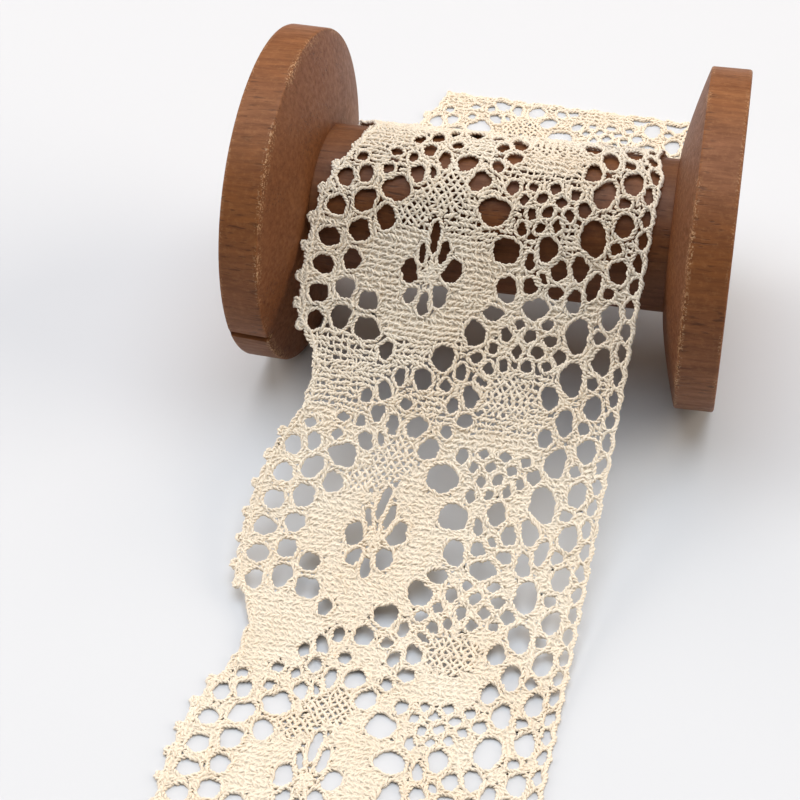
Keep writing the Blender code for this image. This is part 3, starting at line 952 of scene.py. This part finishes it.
class LACESPOOL_OT_core(bpy.types.Operator):
    """Turn the core"""

    bl_idname = "lacespool.core"
    bl_label = "Core"

    def execute(self, context):
        wood = sizes("lace_spool")
        shape = bmesh.new()
        bmesh.ops.create_cone(
            shape, cap_ends=True, segments=128, radius1=wood.core_radius,
            radius2=wood.core_radius, depth=wood.core_span + 0.0004,
        )
        turn = Matrix.Rotation(math.pi / 2, 4, "Y")
        bmesh.ops.transform(shape, matrix=turn, verts=shape.verts)
        for vert in shape.verts:
            swing, tilt = LEANS[0] if vert.co.x < 0 else LEANS[1]
            vert.co.x += vert.co.z * math.tan(math.radians(tilt))
            vert.co.x -= vert.co.y * math.tan(math.radians(swing))
        place = Matrix.Translation(Vector(MIDDLE) + Vector((0, 0, AXIS_HEIGHT)))
        bmesh.ops.transform(shape, matrix=place, verts=shape.verts)
        mesh = bpy.data.meshes.new("core_wood")
        shape.to_mesh(mesh)
        shape.free()
        mesh.shade_smooth()
        mesh.set_sharp_from_angle(angle=math.radians(38))
        new_piece("core_wood", mesh, wood_material("stained_core"), "core", slot="wood")
        return {"FINISHED"}


# Materials


class Nodes:
    """Short names for the nodes of one material."""

    def __init__(self, name):
        self.material = bpy.data.materials.new(name)
        self.material.use_nodes = True
        self.tree = self.material.node_tree
        self.shader = self.tree.nodes["Principled BSDF"]

    def node(self, kind, inputs=(), **settings):
        node = self.tree.nodes.new(kind)
        for key, value in settings.items():
            setattr(node, key, value)
        for key, value in dict(inputs).items():
            if isinstance(value, bpy.types.NodeSocket):
                self.tree.links.new(value, node.inputs[key])
            else:
                node.inputs[key].default_value = value
        return node

    def join(self, source, socket):
        self.tree.links.new(source, self.shader.inputs[socket])

    def place(self, scale=(1, 1, 1), location=(0, 0, 0)):
        coordinates = self.node("ShaderNodeTexCoord").outputs["Object"]
        return self.node(
            "ShaderNodeMapping",
            {"Vector": coordinates, "Scale": scale, "Location": location},
        ).outputs["Vector"]

    def noise(self, place, scale, detail=3.0, rough=0.55):
        return self.node(
            "ShaderNodeTexNoise",
            {"Vector": place, "Scale": scale, "Detail": detail, "Roughness": rough},
        ).outputs["Fac"]

    def between(self, value, low, high):
        return self.node(
            "ShaderNodeMapRange", {"Value": value, "From Min": low, "From Max": high}
        ).outputs["Result"]

    def mix(self, share, first, second, blend="MIX"):
        node = self.node("ShaderNodeMix", data_type="RGBA", blend_type=blend)
        for index, value in ((0, share), (6, first), (7, second)):
            if isinstance(value, bpy.types.NodeSocket):
                self.tree.links.new(value, node.inputs[index])
            elif index:
                node.inputs[index].default_value = (*value, 1.0)
            else:
                node.inputs[index].default_value = value
        return node.outputs[2]

    def threads(self, attribute):
        """Two slanted sets of threads, a little over a millimetre apart."""
        flat = self.node("ShaderNodeAttribute", attribute_name=attribute).outputs["Vector"]
        sets = []
        for lean in (35, -50):
            turned_place = self.node(
                "ShaderNodeMapping", {"Vector": flat, "Rotation": (0, 0, math.radians(lean))}
            ).outputs["Vector"]
            sets.append(self.node(
                "ShaderNodeTexWave",
                {"Vector": turned_place, "Scale": 0.27, "Distortion": 2.5, "Detail": 1.0,
                 "Detail Scale": 2.0},
            ).outputs["Fac"])
        return self.node(
            "ShaderNodeMath", {0: sets[0], 1: sets[1]}, operation="MAXIMUM").outputs[0]

    def times(self, first, second):
        node = self.node("ShaderNodeMath", {0: first, 1: second}, operation="MULTIPLY")
        return node.outputs[0]

    def bump(self, height, strength, distance):
        node = self.node(
            "ShaderNodeBump", {"Height": height, "Strength": strength, "Distance": distance}
        )
        self.join(node.outputs["Normal"], "Normal")


def cotton_material(name, tone, light, woven_and_shaded=False):
    """Matt cotton, a little uneven, with short fibres or slanted threads whose hollows get
    painted shade.
    """
    made = Nodes(name)
    place = made.place()
    slow = made.between(made.noise(place, 45, 2), 0.35, 0.65)
    quick = made.between(made.noise(place, 900, 2), 0.3, 0.7)
    base = made.mix(slow, tone, light)
    base = made.mix(made.times(quick, 0.35), base, [share * 0.85 for share in tone])
    height, strength, distance = made.noise(place, 3800, 2), 0.35, 0.00012
    if woven_and_shaded:
        height, strength, distance = made.threads("flat_place"), 1.0, 0.00030
        # Painted shade: the cotton is darkened between the slanted threads
        base = made.mix(height, [share * 0.82 for share in tone], base)
    made.join(base, "Base Color")
    made.shader.inputs["Roughness"].default_value = 0.88
    made.shader.inputs["Specular IOR Level"].default_value = 0.12
    made.bump(height, strength, distance)
    return made.material


# Painted light: how much lighter the outer rims are than the faces, as if they caught more
# light
RIM_PAINTED_LIGHT = (1.36, 1.42, 1.40)


def wood_material(name, worn_edges_and_lit_rim=False):
    """Brown stained wood with fine grain along the spool, short cracks and worn flecks, with
    painted light on the outer rim of a flange.
    """
    colours = sizes("lace_colours")
    made = Nodes(name)
    place = made.place()
    along = made.place(scale=(0.12, 1.0, 1.0))
    grain = made.noise(along, 700, 4, 0.75)
    streak = made.noise(along, 90, 3, 0.6)
    cloud = made.noise(place, 38, 3)
    mottle = made.noise(place, 700, 3, 0.7)
    base = made.mix(made.between(grain, 0.35, 0.68), colours.wood, colours.wood_dark)
    base = made.mix(
        made.times(made.between(streak, 0.45, 0.75), 0.16), base, colours.wood_worn
    )
    base = made.mix(made.times(made.between(cloud, 0.4, 0.7), 0.22), base, colours.wood_dark)
    base = made.mix(made.times(made.between(mottle, 0.5, 0.75), 0.30), base, colours.wood_worn)
    crack = made.between(made.noise(made.place(scale=(0.16, 1.0, 1.0)), 1600, 1), 0.60, 0.67)
    where = made.between(made.noise(place, 75, 1), 0.50, 0.60)
    if worn_edges_and_lit_rim:
        torn = made.node("ShaderNodeAttribute", attribute_name="torn").outputs["Fac"]
        where = made.node(
            "ShaderNodeMath", {0: where, 1: torn}, operation="MAXIMUM").outputs[0]
    crack = made.times(crack, where)
    base = made.mix(made.times(crack, 0.55), base, [share * 0.3 for share in colours.wood_dark])
    if worn_edges_and_lit_rim:
        # Painted light: the outer rim band is lightened as if it caught more light than the
        # faces
        rim = made.node("ShaderNodeAttribute", attribute_name="rim").outputs["Fac"]
        rim_painted_lit = made.mix(1.0, base, RIM_PAINTED_LIGHT, blend="MULTIPLY")
        base = made.mix(rim, base, rim_painted_lit)
        wear = made.node("ShaderNodeAttribute", attribute_name="wear").outputs["Fac"]
        fleck = made.between(made.noise(place, 1900, 1), 0.52, 0.62)
        fleck = made.times(fleck, made.between(made.noise(place, 110, 2), 0.40, 0.60))
        flecked = (0.50, 0.30, 0.16)
        base = made.mix(made.times(made.times(wear, fleck), 0.9), base, flecked)
    made.join(base, "Base Color")
    rough = made.node(
        "ShaderNodeMapRange",
        {"Value": grain, "From Min": 0.3, "From Max": 0.7, "To Min": 0.42, "To Max": 0.62},
    ).outputs["Result"]
    made.join(rough, "Roughness")
    made.shader.inputs["Specular IOR Level"].default_value = 0.26
    depth = made.node("ShaderNodeMath", {0: grain, 1: crack}, operation="SUBTRACT")
    made.bump(depth.outputs[0], 0.25, 0.0002)
    return made.material


# The stage


def aimed(name, kind, place, target, energy, size=0.0, colour=(1, 1, 1)):
    light = bpy.data.lights.new(name, kind)
    light.energy = energy
    light.color = colour
    if kind == "AREA":
        light.shape = "DISK"
        light.size = size
    lamp = bpy.data.objects.new(name, light)
    bpy.context.scene.collection.objects.link(lamp)
    lamp.location = place
    lamp.rotation_mode = "QUATERNION"
    lamp.rotation_quaternion = (Vector(target) - Vector(place)).to_track_quat("-Z", "Y")
    return lamp


# Soft lights round the table: place in metres, power in watts, width in metres, colour
SOFTBOXES = (
    ("overhead", (0.0, 0.1, 2.6), 72.0, 2.8, (0.86, 0.93, 1.0)),
    ("behind", (-0.2, 2.0, 1.5), 19.5, 2.4, (1.0, 0.75, 0.58)),
    ("at_left", (-2.4, 0.3, 1.2), 57.0, 2.4, (1.0, 0.93, 0.84)),
    ("at_right", (2.4, 0.3, 1.2), 56.0, 2.4, (1.0, 0.90, 0.76)),
)


class LACESPOOL_OT_stage(bpy.types.Operator):
    """Make the floor, the lights and the camera"""

    bl_idname = "lacespool.stage"
    bl_label = "Floor, lights and camera"

    def execute(self, context):
        scene = context.scene
        shape = bmesh.new()
        bmesh.ops.create_grid(shape, x_segments=1, y_segments=1, size=3.0)
        mesh = bpy.data.meshes.new("white_floor")
        shape.to_mesh(mesh)
        shape.free()
        floor = bpy.data.objects.new("white_floor", mesh)
        scene.collection.objects.link(floor)
        white = Nodes("white_floor")
        white.shader.inputs["Base Color"].default_value = (0.61, 0.62, 0.645, 1.0)
        white.shader.inputs["Roughness"].default_value = 0.7
        mesh.materials.append(white.material)

        world = bpy.data.worlds.new("pale_room")
        scene.world = world
        world.use_nodes = True
        sky = world.node_tree.nodes["Background"]
        sky.inputs["Color"].default_value = (1.0, 0.97, 0.93, 1.0)
        sky.inputs["Strength"].default_value = 0.03

        for name, place, energy, size, colour in SOFTBOXES:
            aimed(name, "AREA", place, (0, 0, 0.02), energy, size, colour)
        scene.view_settings.view_transform = "Standard"

        camera = bpy.data.objects.new("camera", bpy.data.cameras.new("camera"))
        scene.collection.objects.link(camera)
        camera.data.sensor_width = 36.0
        camera.data.lens = 100.85
        camera.data.clip_start = 0.05
        camera.data.clip_end = 10.0
        yaw, pitch, roll = (math.radians(v) for v in (12.84, 43.93, -1.87))
        back = Vector((
            math.sin(yaw) * math.cos(pitch), -math.cos(yaw) * math.cos(pitch),
            math.sin(pitch),
        ))
        right = Vector((math.cos(yaw), math.sin(yaw), 0.0))
        up = back.cross(right)
        level = right * math.cos(roll) + up * math.sin(roll)
        upright = up * math.cos(roll) - right * math.sin(roll)
        axes = Matrix((level, upright, back)).transposed().to_4x4()
        centre = Vector((0.0719, -0.4351, 0.4030)) + Vector(MIDDLE)
        camera.matrix_world = Matrix.Translation(centre) @ axes
        scene.camera = camera
        return {"FINISHED"}


class LACESPOOL_PT_panel(bpy.types.Panel):
    """Lists the steps that build the lace spool"""

    bl_label = "Lace spool"
    bl_idname = "LACESPOOL_PT_panel"
    bl_space_type = "VIEW_3D"
    bl_region_type = "UI"
    bl_category = "Lace spool"

    def draw(self, context):
        for step in STEPS:
            self.layout.operator(step.bl_idname)
        for name in GROUPS:
            for prop in getattr(context.scene, name).bl_rna.properties:
                if prop.identifier not in ("rna_type", "name"):
                    self.layout.prop(getattr(context.scene, name), prop.identifier)


GROUPS = {
    "lace_yarn": YarnSizes, "lace_spool": SpoolSizes, "lace_colours": SpoolColours,
}
STEPS = (LACESPOOL_OT_stage, LACESPOOL_OT_core, LACESPOOL_OT_flanges, LACESPOOL_OT_lace)


def register():
    for item in (*GROUPS.values(), *STEPS, LACESPOOL_PT_panel):
        bpy.utils.register_class(item)
    for name, group in GROUPS.items():
        setattr(bpy.types.Scene, name, bpy.props.PointerProperty(type=group))


def unregister():
    for name in GROUPS:
        delattr(bpy.types.Scene, name)
    for item in (LACESPOOL_PT_panel, *reversed(STEPS), *reversed(GROUPS.values())):
        bpy.utils.unregister_class(item)


def main():
    register()
    bpy.ops.lacespool.stage()
    bpy.ops.lacespool.core()
    bpy.ops.lacespool.flanges()
    bpy.ops.lacespool.lace()


if __name__ == "__main__":
    main()
